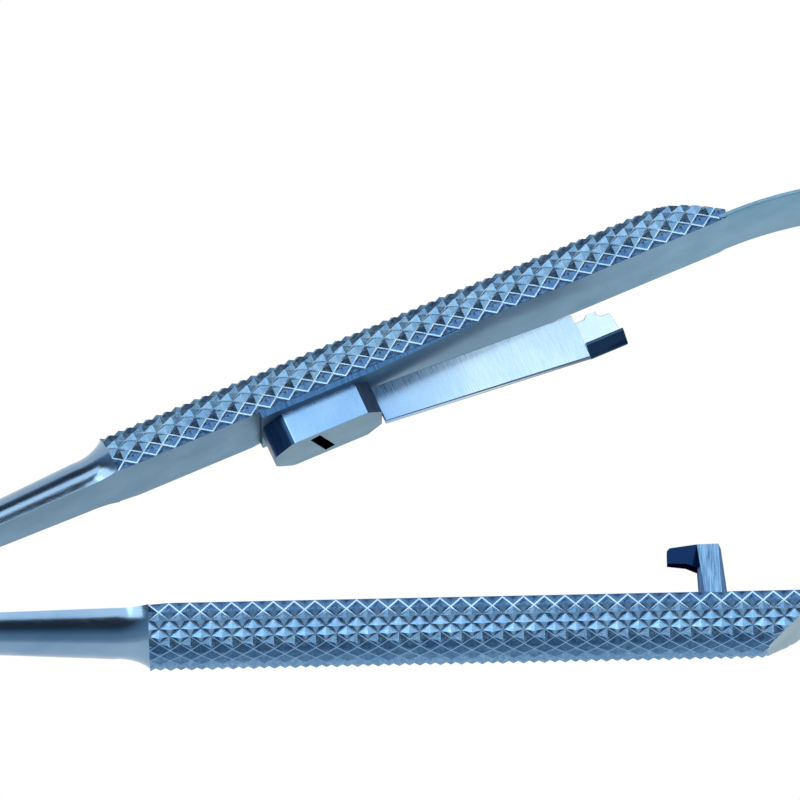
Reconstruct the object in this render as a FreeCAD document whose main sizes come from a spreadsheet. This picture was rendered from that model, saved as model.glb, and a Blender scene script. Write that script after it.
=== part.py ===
"""Spring-handled needle holder for fine surgery, blue anodised titanium, lying open on its side.

The pivot is near the jaws, the two half-round grips are knurled, and a spring leaf runs on from each grip to
the butt, where a rivet joins the two. One grip carries a catch lever in a block, the other a hook post.

Frame, in millimetres: +X runs from the jaws to the butt along the centre line, +Y is the side of the arm that
carries the catch, and +Z is up, along the pivot. The origin is on the table, midway along the instrument.
Each arm is first made along its own inner flat, which passes through the pivot: X along the flat from the
pivot, Y out of the back of the grip, Z along the pivot. It is then turned to its place in the open instrument.
"""
import FreeCAD, Part
import math
import os
import Sketcher
from FreeCAD import Placement, Rotation, Vector

SIZES = [
    ("open_half_angle", 11.3, "degrees from the centre line to each inner flat, open"),
    ("closed_half_angle", 2.8, "the same with the jaws shut and the catch home"),
    ("grip_crest_radius", 4.0, "half of the round handle, over the knurl"),
    ("grip_root_radius", 3.62, "bottom of the knurl's grooves"),
    ("grip_start", 28.3, "pivot to the first row of the knurl"),
    ("knurl_pitch", 1.6, "diamond length along the grip"),
    ("knurl_count", 33, "diamonds along the grip"),
    ("knurl_rows", 18, "half diamonds round the half circle"),
    ("crest_end", 75.4, "pivot to the end of the grip's back"),
    ("end_slope", 36.0, "degrees, slanting end of the grip"),
    ("neck_length", 2.8, "flare from the shank up to the knurl"),
    ("neck_radius", 3.02, "shank radius where the flare starts"),
    ("neck_top_radius", 3.8, "flare radius at the knurl"),
    ("shank_radius", 1.6, "shank and jaw radius at the pivot"),
    ("jaw_length", 15.0, "pivot to jaw tip"),
    ("jaw_tip_radius", 0.6, "half-round radius at the jaw tip"),
    ("jaw_gap", 0.06, "left between the shut jaws"),
    ("lug_radius", 3.0, "round lap at the pivot"),
    ("lug_clearance", 0.3, "round the other arm's lap"),
    ("lap_gap", 0.06, "between the two laps"),
    ("pivot_radius", 1.0, "pivot screw"),
    ("pivot_clearance", 0.04, "running fit of the moving arm"),
    ("screw_head_radius", 1.9, "pivot screw's head"),
    ("screw_head_height", 0.7, "pivot screw's head"),
    ("screw_slot_width", 0.5, "driver slot"),
    ("screw_slot_depth", 0.35, "driver slot"),
    ("leaf_thickness", 0.65, "spring leaf"),
    ("leaf_width", 7.8, "spring leaf at the grip"),
    ("leaf_butt_width", 5.4, "spring leaf at the butt"),
    ("leaf_straight", 2.2, "leaf still in line with the grip's flat"),
    ("leaf_bend_radius", 25.0, "bend that turns the leaf inwards"),
    ("leaf_fall", 30.0, "degrees, leaf against the centre line"),
    ("butt_bend_radius", 10.0, "bend that lays the leaf ends together"),
    ("butt_length", 5.0, "leaf ends that lie together"),
    ("butt_gap", 0.04, "between the leaf ends"),
    ("rivet_radius", 1.0, "butt rivet's shaft"),
    ("rivet_head_radius", 1.7, "butt rivet's heads"),
    ("rivet_head_height", 0.6, "butt rivet's heads"),
    ("pad_start", 40.2, "pivot to the raised pad under the block"),
    ("pad_height", 0.5, "raised pad"),
    ("pad_width", 7.2, "raised pad, across the grip"),
    ("pad_ramp_end", 60.4, "pivot to where the pad's ramp runs out"),
    ("block_length", 9.0, "catch block along the grip"),
    ("block_width", 5.2, "catch block across the grip"),
    ("block_height", 2.6, "catch block above the pad"),
    ("block_nose", 1.5, "slant of the block's front corners"),
    ("block_shoulder", 1.2, "slant of the block's rear corners"),
    ("block_rounding", 0.9, "rounding of the front corners"),
    ("slot_length", 3.5, "slot in the block's face"),
    ("slot_width", 0.75, "slot in the block's face"),
    ("slot_depth", 1.2, "slot in the block's face"),
    ("slot_slant", -18.5, "degrees, slot off square"),
    ("lever_length", 16.7, "lever, block to catch"),
    ("lever_thickness", 0.75, "lever along the pivot's direction"),
    ("lever_root_top", 0.62, "grip's flat to the lever, at the block"),
    ("lever_root_height", 2.95, "lever at the block"),
    ("lever_end_top", 1.45, "grip's flat to the lever, at the catch"),
    ("lever_end_height", 3.7, "lever at the catch"),
    ("tail_length", 2.0, "lever's tail in the block"),
    ("tail_height", 1.5, "lever's tail in the block"),
    ("tail_clearance", 0.12, "round the tail"),
    ("catch_length", 3.2, "catch beyond the lever"),
    ("plate_top", 1.85, "grip's flat to the top of the stepped plate"),
    ("plate_face", 0.2, "height of the stepped plate's near face"),
    ("step_depth", 0.28, "each step of the plate"),
    ("ledge_top", 4.1, "grip's flat to the ledge that takes the hook"),
    ("ledge_bottom", 5.2, "grip's flat to the ledge's underside"),
    ("ledge_reach", 0.7, "ledge's near edge, above the middle plane"),
    ("hook_gap", 1.48, "end of the catch to the hook post"),
    (
        "hook_base",
        "=pad_start + block_length + tail_clearance + lever_length + catch_length + hook_gap",
        "pivot to the hook post",
    ),
    ("hook_base_length", 2.2, "post where it leaves the grip"),
    ("hook_height", 4.4, "top of the hook over the flat"),
    ("hook_nose_length", 2.4, "nose that reaches over the ledge"),
    ("hook_nose_depth", 1.3, "nose at its end"),
    ("hook_clearance", 0.1, "hook to the ledge's near edge"),
    ("hook_thickness", 1.6, "hook along the pivot's direction"),
    ("hook_bevel", 0.8, "slant on the near face of the nose"),
    ("hook_chamfer", 0.3, "slant at the hook's top corners"),
    ("spigot_radius", 0.6, "hook post's spigot in the grip"),
    ("spigot_length", 1.6, "hook post's spigot in the grip"),
]

doc = FreeCAD.newDocument("needle_holder")
sheet = doc.addObject("Spreadsheet::Sheet", "dims")
for line, (alias, value, meaning) in enumerate(SIZES, start=1):
    sheet.set(f"A{line}", meaning)
    sheet.set(f"B{line}", str(value))
    sheet.setAlias(f"B{line}", alias)
doc.recompute()


def size(alias):
    """The value of one cell of the sheet."""
    return float(sheet.get(alias))


def bind(thing, **expressions):
    """Ties properties of an object to cells of the sheet."""
    for name, expression in expressions.items():
        thing.setExpression(name, expression)
    return thing


def new_body(name):
    return doc.addObject("PartDesign::Body", name)


def outline(body, name, role, corners):
    """A closed sketch of straight edges on one of the body's own planes. Each corner is a pair of expressions."""
    sketch = body.newObject("Sketcher::SketchObject", name)
    plane = next(f for f in body.Origin.OriginFeatures if f.Role == role)
    sketch.AttachmentSupport = [(plane, "")]
    sketch.MapMode = "FlatFace"
    spots = [Vector(float(body.evalExpression(x)), float(body.evalExpression(y)), 0) for x, y in corners]
    for here, there in zip(spots, spots[1:] + spots[:1]):
        sketch.addGeometry(Part.LineSegment(here, there), False)
    for edge in range(len(spots)):
        sketch.addConstraint(Sketcher.Constraint("Coincident", edge, 2, (edge + 1) % len(spots), 1))
    for edge, (x, y) in enumerate(corners):
        for kind, value, expression in (("DistanceX", spots[edge].x, x), ("DistanceY", spots[edge].y, y)):
            index = sketch.addConstraint(Sketcher.Constraint(kind, -1, 1, edge, 1, value))
            sketch.setExpression(f"Constraints[{index}]", expression)
    return sketch


def pad(body, sketch, length, both_ways=False):
    """Pads a sketch by an expression, to one side or half to each side."""
    feature = body.newObject("PartDesign::Pad", sketch.Name + "_pad")
    feature.Profile = sketch
    feature.SideType = "Symmetric" if both_ways else "One side"
    return bind(feature, Length=length)


def revolve(body, sketch, axis):
    """Turns a sketch once round one of its own axes."""
    feature = body.newObject("PartDesign::Revolution", sketch.Name + "_turn")
    feature.Profile = sketch
    feature.ReferenceAxis = (sketch, [axis])
    feature.Angle = 360
    return feature


def cut(name, base, *tools):
    """Takes tools away from base, one after the other."""
    for number, tool in enumerate(tools):
        result = doc.addObject("Part::Cut", name if tool is tools[-1] else f"{name}_cut_{number}")
        result.Base = base
        result.Tool = tool
        base = result
    return base


def fuse(name, *pieces):
    result = doc.addObject("Part::MultiFuse", name)
    result.Shapes = list(pieces)
    return result


def prism(corners, low, high):
    """A straight-sided solid over corners in the X-Y plane, between two heights."""
    points = [Vector(x, y, low) for x, y in corners]
    return Part.Face(Part.makePolygon(points + points[:1])).extrude(Vector(0, 0, high - low))


LEAF_START = size("crest_end") + (size("grip_crest_radius") - size("leaf_thickness")) / math.tan(
    math.radians(size("end_slope"))
)


def leaf_path():
    """Corners and tangent points of the leaf's inner side, from the grip to the butt, about the pivot.

    Returns the points in order, with each bend's centre, and the X of the butt's end.
    """
    rise = math.radians(size("open_half_angle"))
    fall = math.radians(size("leaf_fall"))
    bend, last = size("leaf_bend_radius"), size("butt_bend_radius")
    start = Vector(LEAF_START * math.cos(rise), LEAF_START * math.sin(rise), 0)
    turn_in = start + Vector(math.cos(rise), math.sin(rise), 0) * size("leaf_straight")
    centre_in = turn_in + Vector(math.sin(rise), -math.cos(rise), 0) * bend
    turned = centre_in + Vector(math.sin(fall), math.cos(fall), 0) * bend
    settle = size("butt_gap") / 2 + last * (1 - math.cos(fall))
    run = (turned.y - settle) / math.sin(fall)
    turn_out = turned + Vector(math.cos(fall), -math.sin(fall), 0) * run
    centre_out = turn_out + Vector(math.sin(fall), math.cos(fall), 0) * last
    flat = centre_out - Vector(0, last, 0)
    end = flat + Vector(size("butt_length"), 0, 0)
    return (start, turn_in, turned, turn_out, flat, end), (centre_in, centre_out), end.x


PATH, CENTRES, BUTT_END = leaf_path()
JAW_END = -size("jaw_length") * math.cos(math.radians(size("open_half_angle") - size("closed_half_angle")))
PIVOT = Vector(-(BUTT_END + JAW_END) / 2, 0, size("grip_crest_radius"))
CATCH_SIDE = Placement(PIVOT, Rotation(Vector(0, 0, 1), size("open_half_angle")))
HOOK_SIDE = Placement(PIVOT, Rotation(Vector(0, 0, 1), -size("open_half_angle")))
TURNED_OVER = Placement(Vector(), Rotation(Vector(1, 0, 0), 180))


def knurled_bar():
    """Half-round bar covered in four-sided diamonds, as rolled on a full round before its flat was milled.

    The corners of the diamonds lie on the root radius and their points on the crest radius. Even rows have a
    corner at both ends, and the first and last rows are cut in half by the flat.
    """
    start, pitch = size("grip_start"), size("knurl_pitch")
    count, rows = int(size("knurl_count")), int(size("knurl_rows"))
    step = math.pi / rows

    def spot(half, row, radius):
        """A point half pitches along and rows round."""
        angle = row * step
        return Vector(start + half * pitch / 2, radius * math.sin(angle), radius * math.cos(angle))

    def corner(half, row):
        return spot(half, row, size("grip_root_radius"))

    def point(half, row):
        return spot(half, row, size("grip_crest_radius"))

    faces = []
    for row in range(rows + 1):
        for half in range(1 - row % 2, 2 * count + 1, 2):
            ring = [(half - 1, row), (half, row - 1), (half + 1, row), (half, row + 1), (half - 1, row)]
            for near, far in zip(ring, ring[1:]):
                if all(0 <= h <= 2 * count and 0 <= r <= rows for h, r in (near, far)):
                    corners = [point(half, row), corner(*near), corner(*far)]
                    faces.append(Part.Face(Part.makePolygon(corners + corners[:1])))
    for half in (0, 2 * count):
        rim = [point(half, row) if row % 2 else corner(half, row) for row in range(rows + 1)]
        faces.append(Part.Face(Part.makePolygon(rim + rim[:1])))
    edges = [[point(h, row) if h % 2 else corner(h, row) for h in range(2 * count + 1)] for row in (0, rows)]
    flat = edges[0] + edges[1][::-1]
    faces.append(Part.Face(Part.makePolygon(flat + flat[:1])))
    shell = Part.Shell(faces)
    shell.sewShape()
    solid = Part.Solid(shell.Shells[0] if shell.ShapeType != "Shell" else shell)
    if solid.Volume < 0:
        solid.reverse()
    return solid


def slanted_end():
    """What is cut off the knurled bar behind its slanting end, down to the leaf's own thickness."""
    radius, leaf = size("grip_crest_radius"), size("leaf_thickness")
    slope = math.tan(math.radians(size("end_slope")))
    beyond = size("grip_start") + size("knurl_pitch") * size("knurl_count") + radius
    corners = [
        (size("crest_end") - radius / slope, 2 * radius),
        (LEAF_START, leaf),
        (LEAF_START, -radius),
        (beyond, -radius),
        (beyond, 2 * radius),
    ]
    return prism(corners, -2 * radius, 2 * radius)


def half_round(points, bulge, side):
    """Turns a profile of (X, radius) half a turn. side is 1 for the back of the grip and -1 for the jaw's side.

    bulge is the middle point of an arc between the last two points, or None for a straight edge.
    """
    spots = [Vector(x, 0, -side * radius) for x, radius in points]
    edges = [Part.LineSegment(a, b).toShape() for a, b in zip(spots, spots[1:])]
    if bulge:
        edges[-1] = Part.Arc(spots[-2], Vector(bulge[0], 0, -side * bulge[1]), spots[-1]).toShape()
    first, last = Vector(points[0][0], 0, 0), Vector(points[-1][0], 0, 0)
    edges = [Part.LineSegment(first, spots[0]).toShape()] + edges
    edges.append(Part.LineSegment(spots[-1], last).toShape())
    edges.append(Part.LineSegment(last, first).toShape())
    return Part.Face(Part.Wire(edges)).revolve(Vector(), Vector(1, 0, 0), 180)


def arm_blank():
    """Jaw, lap, shank and grip in one piece, before it is drilled for the pivot."""
    start, neck, shank = size("grip_start"), size("neck_length"), size("shank_radius")
    lap, gap = size("lug_radius"), size("lap_gap") / 2
    bulge = (start - neck * 0.35, size("neck_radius") + (size("neck_top_radius") - size("neck_radius")) * 0.32)
    stem = half_round(
        [(0, shank), (start - neck, size("neck_radius")), (start, size("neck_top_radius"))], bulge, 1
    )
    tip = size("jaw_tip_radius")
    length = size("jaw_length")
    jaw = half_round([(0, shank), (tip - length, tip), (-length, tip / 2)], None, -1)
    jaw.rotate(Vector(), Vector(0, 0, 1), -size("closed_half_angle"))
    jaw.translate(Vector(0, -size("jaw_gap") / 2, 0))
    swing = Part.makeCylinder(lap + size("lug_clearance"), 2 * shank + gap, Vector(0, 0, -2 * shank))
    lug = Part.makeCylinder(lap, shank - gap, Vector(0, 0, gap))
    grip = knurled_bar().cut(slanted_end())
    return stem.fuse(jaw).cut(swing).fuse([lug, grip]).removeSplitter().Solids[0]


def leaf_shape():
    """Spring leaf on the catch side, about the pivot: an even strip that narrows towards the butt."""
    thick = size("leaf_thickness")
    start, turn_in, turned, turn_out, flat, end = PATH
    centre_in, centre_out = CENTRES
    rise = math.radians(size("open_half_angle"))
    fall = math.radians(size("leaf_fall"))
    square = Vector(-math.sin(rise), math.cos(rise), 0) * thick
    fallen = Vector(math.sin(fall), math.cos(fall), 0) * thick
    top = Vector(0, thick, 0)

    def middle(centre, a, b):
        """The point half way along the arc from a to b."""
        half = (a + b) * 0.5 - centre
        return centre + half * ((a - centre).Length / half.Length)

    inner = [start, turn_in, turned, turn_out, flat, end]
    outer = [start + square, turn_in + square, turned + fallen, turn_out + fallen, flat + top, end + top]
    edges = []
    for run in (inner, outer):
        edges += [
            Part.LineSegment(run[0], run[1]).toShape(),
            Part.Arc(run[1], middle(centre_in, run[1], run[2]), run[2]).toShape(),
            Part.LineSegment(run[2], run[3]).toShape(),
            Part.Arc(run[3], middle(centre_out, run[3], run[4]), run[4]).toShape(),
            Part.LineSegment(run[4], run[5]).toShape(),
        ]
    edges.append(Part.LineSegment(inner[0], outer[0]).toShape())
    edges.append(Part.LineSegment(inner[-1], outer[-1]).toShape())
    width, narrow = size("leaf_width"), size("leaf_butt_width")
    wire = Part.Wire(Part.__sortEdges__(edges))
    strip = Part.Face(wire).extrude(Vector(0, 0, width))
    strip.translate(Vector(0, 0, -width / 2))
    for side in (1, -1):
        low, high = side * narrow / 2, side * width / 2
        waste = [
            Vector(turned.x, -1, high),
            Vector(flat.x, -1, low),
            Vector(end.x + 1, -1, low),
            Vector(end.x + 1, -1, side * width),
            Vector(turned.x, -1, side * width),
        ]
        sweep = Part.Face(Part.makePolygon(waste + waste[:1])).extrude(Vector(0, turned.y + 5, 0))
        strip = strip.cut(sweep)
    return strip


def still(name, shape):
    """A document object that holds a worked-out shape."""
    thing = doc.addObject("Part::Feature", name)
    thing.Shape = shape
    return thing


def pin_hole(name, radius, middle, direction, length):
    """A drill: a cylinder of that radius, length to each side of middle."""
    drill = bind(doc.addObject("Part::Cylinder", name), Radius=radius)
    drill.Height = 2 * length
    drill.Placement = Placement(middle - direction * length, Rotation(Vector(0, 0, 1), direction))
    return drill


def make_lock_pad():
    """Raised pad under the catch block, with the long ramp that runs out under the lever."""
    body = new_body("lock_pad")
    end = "dims.pad_start + dims.block_length"
    corners = [
        ("dims.pad_start", "0"),
        ("dims.pad_start", "-dims.pad_height"),
        (end, "-dims.pad_height"),
        ("dims.pad_ramp_end", "0"),
    ]
    pad(body, outline(body, "pad_side", "XY_Plane", corners), "dims.pad_width", both_ways=True)
    return body


def make_arms():
    """The two arms: one blank, used twice, the second turned over."""
    blank = arm_blank()
    through = size("shank_radius") * 2
    up = Vector(0, 0, 1)
    running = pin_hole("running_hole", "dims.pivot_radius + dims.pivot_clearance", Vector(), up, through)
    lock_arm = cut("lock_arm", fuse("lock_arm_raw", still("lock_arm_blank", blank), make_lock_pad()), running)
    lock_arm.Placement = CATCH_SIDE
    turned = blank.copy()
    turned.Placement = TURNED_OVER
    tapped = pin_hole("tapped_hole", "dims.pivot_radius", Vector(), up, through)
    seat = Vector(size("hook_base") + size("hook_base_length") / 2, 0, hook_middle())
    socket = pin_hole("hook_socket", "dims.spigot_radius", seat, Vector(0, 1, 0), size("spigot_length"))
    hook_arm = cut("hook_arm", still("hook_arm_blank", turned), tapped, socket)
    hook_arm.Placement = HOOK_SIDE
    return [lock_arm, hook_arm]


def hook_middle():
    """Height of the hook's middle, clear of the ledge's near edge."""
    return size("ledge_reach") + size("hook_clearance") + size("hook_thickness") / 2


def make_pivot_screw():
    """Cheese-head screw: runs in the moving arm's lap and is fast in the other."""
    body = new_body("pivot_screw_turned")
    seat = "dims.shank_radius + dims.lap_gap"
    corners = [
        ("0", "-dims.shank_radius"),
        ("dims.pivot_radius", "-dims.shank_radius"),
        ("dims.pivot_radius", seat),
        ("dims.screw_head_radius", seat),
        ("dims.screw_head_radius", seat + " + dims.screw_head_height * 0.7"),
        ("dims.screw_head_radius * 0.8", seat + " + dims.screw_head_height"),
        ("0", seat + " + dims.screw_head_height"),
    ]
    revolve(body, outline(body, "screw_profile", "XZ_Plane", corners), "V_Axis")
    slot = bind(
        doc.addObject("Part::Box", "driver_slot"),
        Length="dims.screw_head_radius * 3",
        Width="dims.screw_slot_width",
        Height="dims.screw_slot_depth * 2",
    )
    top = size("shank_radius") + size("lap_gap") + size("screw_head_height")
    corner = Vector(-size("screw_head_radius") * 1.5, -size("screw_slot_width") / 2, top - size("screw_slot_depth"))
    slot.Placement.Base = corner
    screw = cut("pivot_screw", body, slot)
    screw.Placement = Placement(PIVOT, Rotation(Vector(0, 0, 1), 30))
    return [screw]


def make_catch_block():
    """Block on the pad: slanting front corners, shouldered rear, a slot in its face and a socket for the lever."""
    body = new_body("catch_block_milled")
    side = "dims.block_width / 2"
    nose = f"{side} - dims.block_nose"
    shoulder = f"{side} - dims.block_shoulder"
    length = "dims.block_length"
    corners = [
        ("0", f"-({nose})"),
        ("dims.block_nose", f"-{side}"),
        (f"{length} - dims.block_shoulder", f"-{side}"),
        (length, f"-({shoulder})"),
        (length, shoulder),
        (f"{length} - dims.block_shoulder", side),
        ("dims.block_nose", side),
        ("0", nose),
    ]
    block = pad(body, outline(body, "block_plan", "XZ_Plane", corners), "dims.block_height")
    doc.recompute()
    rounding = body.newObject("PartDesign::Fillet", "block_rounding")
    front = [
        f"Edge{number}"
        for number, edge in enumerate(block.Shape.Edges, start=1)
        if edge.BoundBox.YLength > size("block_height") / 2 and edge.BoundBox.XMax < size("block_nose") * 1.1
    ]
    rounding.Base = (block, front)
    bind(rounding, Radius="dims.block_rounding")
    slot = bind(
        doc.addObject("Part::Box", "face_slot"),
        Length="dims.slot_width",
        Width="dims.slot_depth",
        Height="dims.slot_length",
    )
    slant = Rotation(Vector(0, 1, 0), size("slot_slant"))
    middle = Vector(size("block_length") / 2, -size("block_height"), 0)
    slot.Placement = Placement(
        middle - slant.multVec(Vector(size("slot_width") / 2, 0, size("slot_length") / 2)), slant
    )
    socket = bind(
        doc.addObject("Part::Box", "lever_socket"),
        Length="dims.tail_length + dims.tail_clearance + 1",
        Width="dims.tail_height + 2 * dims.tail_clearance",
        Height="dims.lever_thickness + 2 * dims.tail_clearance",
    )
    depth = size("block_length") - size("tail_length") - size("tail_clearance")
    lift = size("pad_height") - tail_top() - size("tail_height") - size("tail_clearance")
    socket.Placement.Base = Vector(depth, lift, -size("lever_thickness") / 2 - size("tail_clearance"))
    milled = cut("catch_block", body, slot, socket)
    milled.Placement = CATCH_SIDE * Placement(Vector(size("pad_start"), -size("pad_height"), 0), Rotation())
    return [milled]


def tail_top():
    """Distance from the grip's flat to the top of the lever's tail."""
    return size("lever_root_top") + (size("lever_root_height") - size("tail_height")) / 2


def make_catch_lever():
    """Blade that stands on edge behind the block, with the stepped plate and the ledge at its end."""
    blade = new_body("lever_blade")
    root = "dims.pad_start + dims.block_length + dims.tail_clearance"
    end = root + " + dims.lever_length"
    top, low = "-dims.lever_root_top", "-(dims.lever_root_top + dims.lever_root_height)"
    tail_high = "-(dims.lever_root_top + (dims.lever_root_height - dims.tail_height) / 2)"
    tail_low = "-(dims.lever_root_top + (dims.lever_root_height + dims.tail_height) / 2)"
    tail = root + " - dims.tail_length"
    corners = [
        (tail, tail_low),
        (root, tail_low),
        (root, low),
        (end, "-(dims.lever_end_top + dims.lever_end_height)"),
        (end, "-dims.lever_end_top"),
        (root, top),
        (root, tail_high),
        (tail, tail_high),
    ]
    pad(blade, outline(blade, "blade_side", "XY_Plane", corners), "dims.lever_thickness", both_ways=True)

    plate = new_body("stepped_plate")
    high, step = "-dims.plate_top", "-(dims.plate_top + dims.step_depth)"
    third = "dims.catch_length / 3"
    corners = [
        (end, "-dims.ledge_top"),
        (f"{end} + dims.catch_length * 0.95", "-dims.ledge_top"),
        (f"{end} + dims.catch_length * 0.88", f"{step} - dims.step_depth"),
        (f"{end} + 2 * {third}", f"{step} - dims.step_depth"),
        (f"{end} + 2 * {third} - dims.step_depth", step),
        (f"{end} + 2 * {third} - dims.step_depth", high),
        (f"{end} + {third}", high),
        (f"{end} + {third} - dims.step_depth", step),
        (end, step),
    ]
    thickness = "dims.lever_thickness / 2 + dims.plate_face"
    pad(plate, outline(plate, "plate_side", "XY_Plane", corners), thickness)
    plate.Placement.Base = Vector(0, 0, -size("lever_thickness") / 2)

    ledge = new_body("ledge")
    back = "-dims.lever_thickness / 2"
    corners = [
        ("-dims.ledge_top", back),
        ("-dims.ledge_top", "dims.ledge_reach"),
        ("-(dims.ledge_top + 0.2)", "dims.ledge_reach"),
        ("-dims.ledge_bottom", "-dims.lever_thickness / 6"),
        ("-dims.ledge_bottom", back),
    ]
    pad(ledge, outline(ledge, "ledge_section", "YZ_Plane", corners), "dims.catch_length")
    start = size("pad_start") + size("block_length") + size("tail_clearance") + size("lever_length")
    ledge.Placement.Base = Vector(start, 0, 0)
    lever = fuse("catch_lever", blade, plate, ledge)
    lever.Placement = CATCH_SIDE
    return [lever]


def make_hook_post():
    """Post on the other grip whose nose points to the jaws and closes over the lever's ledge."""
    body = new_body("hook_blank")
    base = "dims.hook_base"
    nose = f"{base} - dims.hook_nose_length"
    corners = [
        (base, "0"),
        (f"{base} + dims.hook_base_length", "0"),
        (f"{base} + dims.hook_base_length * 0.8", "dims.hook_height - dims.hook_chamfer"),
        (f"{base} + dims.hook_base_length * 0.7", "dims.hook_height"),
        (f"{nose} + 0.2", "dims.hook_height - 0.08"),
        (nose, "dims.hook_height - dims.hook_chamfer"),
        (nose, "dims.hook_height - dims.hook_nose_depth"),
        (f"{nose} + dims.hook_nose_length * 0.6", "dims.hook_height - dims.hook_nose_depth * 1.15"),
        (f"{base} - 0.1", "dims.hook_height - dims.hook_nose_depth * 1.45"),
    ]
    pad(body, outline(body, "hook_side", "XY_Plane", corners), "dims.hook_thickness", both_ways=True)
    near = size("hook_thickness") / 2
    slant = [
        Vector(size("hook_base") - 0.1, 0, near),
        Vector(size("hook_base") - size("hook_nose_length") - 0.1, 0, near - size("hook_bevel")),
        Vector(size("hook_base") - size("hook_nose_length") - 0.1, 0, near + 1),
        Vector(size("hook_base") - 0.1, 0, near + 1),
    ]
    waste = Part.Face(Part.makePolygon(slant + slant[:1])).extrude(Vector(0, size("hook_height") + 1, 0))
    bevelled = cut("hook_bevelled", body, still("nose_bevel", waste))
    spigot = bind(doc.addObject("Part::Cylinder", "spigot"), Radius="dims.spigot_radius", Height="dims.spigot_length")
    middle = Vector(size("hook_base") + size("hook_base_length") / 2, 0, 0)
    spigot.Placement = Placement(middle, Rotation(Vector(0, 0, 1), Vector(0, -1, 0)))
    post = fuse("hook_post", bevelled, spigot)
    post.Placement = HOOK_SIDE * Placement(Vector(0, 0, hook_middle()), Rotation())
    return [post]


def make_spring():
    """The two spring leaves and the rivet that joins them at the butt."""
    strip = leaf_shape()
    spot = Vector(PATH[5].x - size("butt_length") / 2, 0, 0)
    across = Vector(0, 1, 0)
    reach = size("leaf_thickness") * 3
    leaves = []
    for name, turn, radius in (
        ("lock_side_leaf", Placement(), "dims.rivet_radius + dims.pivot_clearance"),
        ("hook_side_leaf", TURNED_OVER, "dims.rivet_radius"),
    ):
        shape = strip.copy()
        shape.Placement = turn
        hole = pin_hole(name + "_hole", radius, spot, across, reach)
        leaf = cut(name, still(name + "_strip", shape), hole)
        leaf.Placement = Placement(PIVOT, Rotation())
        leaves.append(leaf)
    body = new_body("butt_rivet")
    seat = "dims.leaf_thickness + dims.butt_gap / 2"
    high = seat + " + dims.rivet_head_height"
    corners = [
        ("0", f"-({high})"),
        ("dims.rivet_head_radius * 0.65", f"-({high})"),
        ("dims.rivet_head_radius", f"-({seat} + dims.rivet_head_height * 0.35)"),
        ("dims.rivet_head_radius", f"-({seat})"),
        ("dims.rivet_radius", f"-({seat})"),
        ("dims.rivet_radius", seat),
        ("dims.rivet_head_radius", seat),
        ("dims.rivet_head_radius", f"{seat} + dims.rivet_head_height * 0.35"),
        ("dims.rivet_head_radius * 0.65", high),
        ("0", high),
    ]
    revolve(body, outline(body, "rivet_profile", "XY_Plane", corners), "V_Axis")
    body.Placement = Placement(PIVOT + spot, Rotation())
    return leaves + [body]


def main():
    nodes = make_arms()
    nodes += make_pivot_screw()
    nodes += make_catch_block()
    nodes += make_catch_lever()
    nodes += make_hook_post()
    nodes += make_spring()
    doc.recompute()
    for thing in doc.Objects:
        if "Invalid" in thing.State or "Error" in thing.State:
            raise RuntimeError(f"{thing.Name} did not build: {thing.State}")
    os.makedirs("parts", exist_ok=True)
    for node in nodes:
        node.Label = node.Name
        shape = node.Shape
        if shape.isNull() or not shape.isValid() or not shape.Solids:
            raise RuntimeError(f"{node.Label} has no sound shape")
        shape.exportStep(f"parts/{node.Label}.step")
        box = shape.BoundBox
        print(
            f"{node.Label}: {len(shape.Solids)} solid, {shape.Volume:.2f} mm3, {len(shape.Faces)} faces, "
            f"X {box.XMin:.2f} {box.XMax:.2f}  Y {box.YMin:.2f} {box.YMax:.2f}  Z {box.ZMin:.2f} {box.ZMax:.2f}"
        )


main()
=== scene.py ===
"""Dresses the spring-handled needle holder: its finishes, finer pieces, studio and camera."""
import logging
import math
import sys
from abc import ABC, abstractmethod
from dataclasses import dataclass
from enum import Enum, IntEnum
from typing import Callable

import bmesh
import bpy
from mathutils import Matrix, Vector
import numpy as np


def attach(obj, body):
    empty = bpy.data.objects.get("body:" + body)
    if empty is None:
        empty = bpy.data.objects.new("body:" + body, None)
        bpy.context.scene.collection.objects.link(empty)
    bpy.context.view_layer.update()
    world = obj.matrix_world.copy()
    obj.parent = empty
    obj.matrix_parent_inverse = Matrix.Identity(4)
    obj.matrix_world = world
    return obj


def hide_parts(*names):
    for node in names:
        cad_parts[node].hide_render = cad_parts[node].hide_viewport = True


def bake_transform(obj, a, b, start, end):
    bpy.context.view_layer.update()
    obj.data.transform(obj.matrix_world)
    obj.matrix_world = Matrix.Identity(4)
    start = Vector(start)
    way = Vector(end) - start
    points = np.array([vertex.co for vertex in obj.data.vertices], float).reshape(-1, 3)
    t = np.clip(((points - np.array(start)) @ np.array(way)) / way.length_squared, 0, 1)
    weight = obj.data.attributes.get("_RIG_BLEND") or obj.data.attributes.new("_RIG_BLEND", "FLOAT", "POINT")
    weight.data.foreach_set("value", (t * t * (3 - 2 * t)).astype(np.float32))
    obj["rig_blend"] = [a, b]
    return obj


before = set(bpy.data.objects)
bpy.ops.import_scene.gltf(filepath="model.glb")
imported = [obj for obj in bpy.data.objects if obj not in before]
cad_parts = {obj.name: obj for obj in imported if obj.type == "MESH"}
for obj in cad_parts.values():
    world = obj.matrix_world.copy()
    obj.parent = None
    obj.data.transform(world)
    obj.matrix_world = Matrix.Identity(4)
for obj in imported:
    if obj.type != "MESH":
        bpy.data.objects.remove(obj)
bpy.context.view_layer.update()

Tree = bpy.types.NodeTree
Socket = bpy.types.NodeSocket
Piece = bpy.types.Object

LOG = logging.getLogger("needle_holder")
MM = 0.001
PIVOT = Vector((-56.8825, 0.0, 4.0)) * MM
HALF_OPENING = math.radians(11.3)
# Points this close are one, in metres: first in a CAD mesh, then after a bevel.
SAME_POINT = 0.000002
SLIVER = 0.000003
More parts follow.
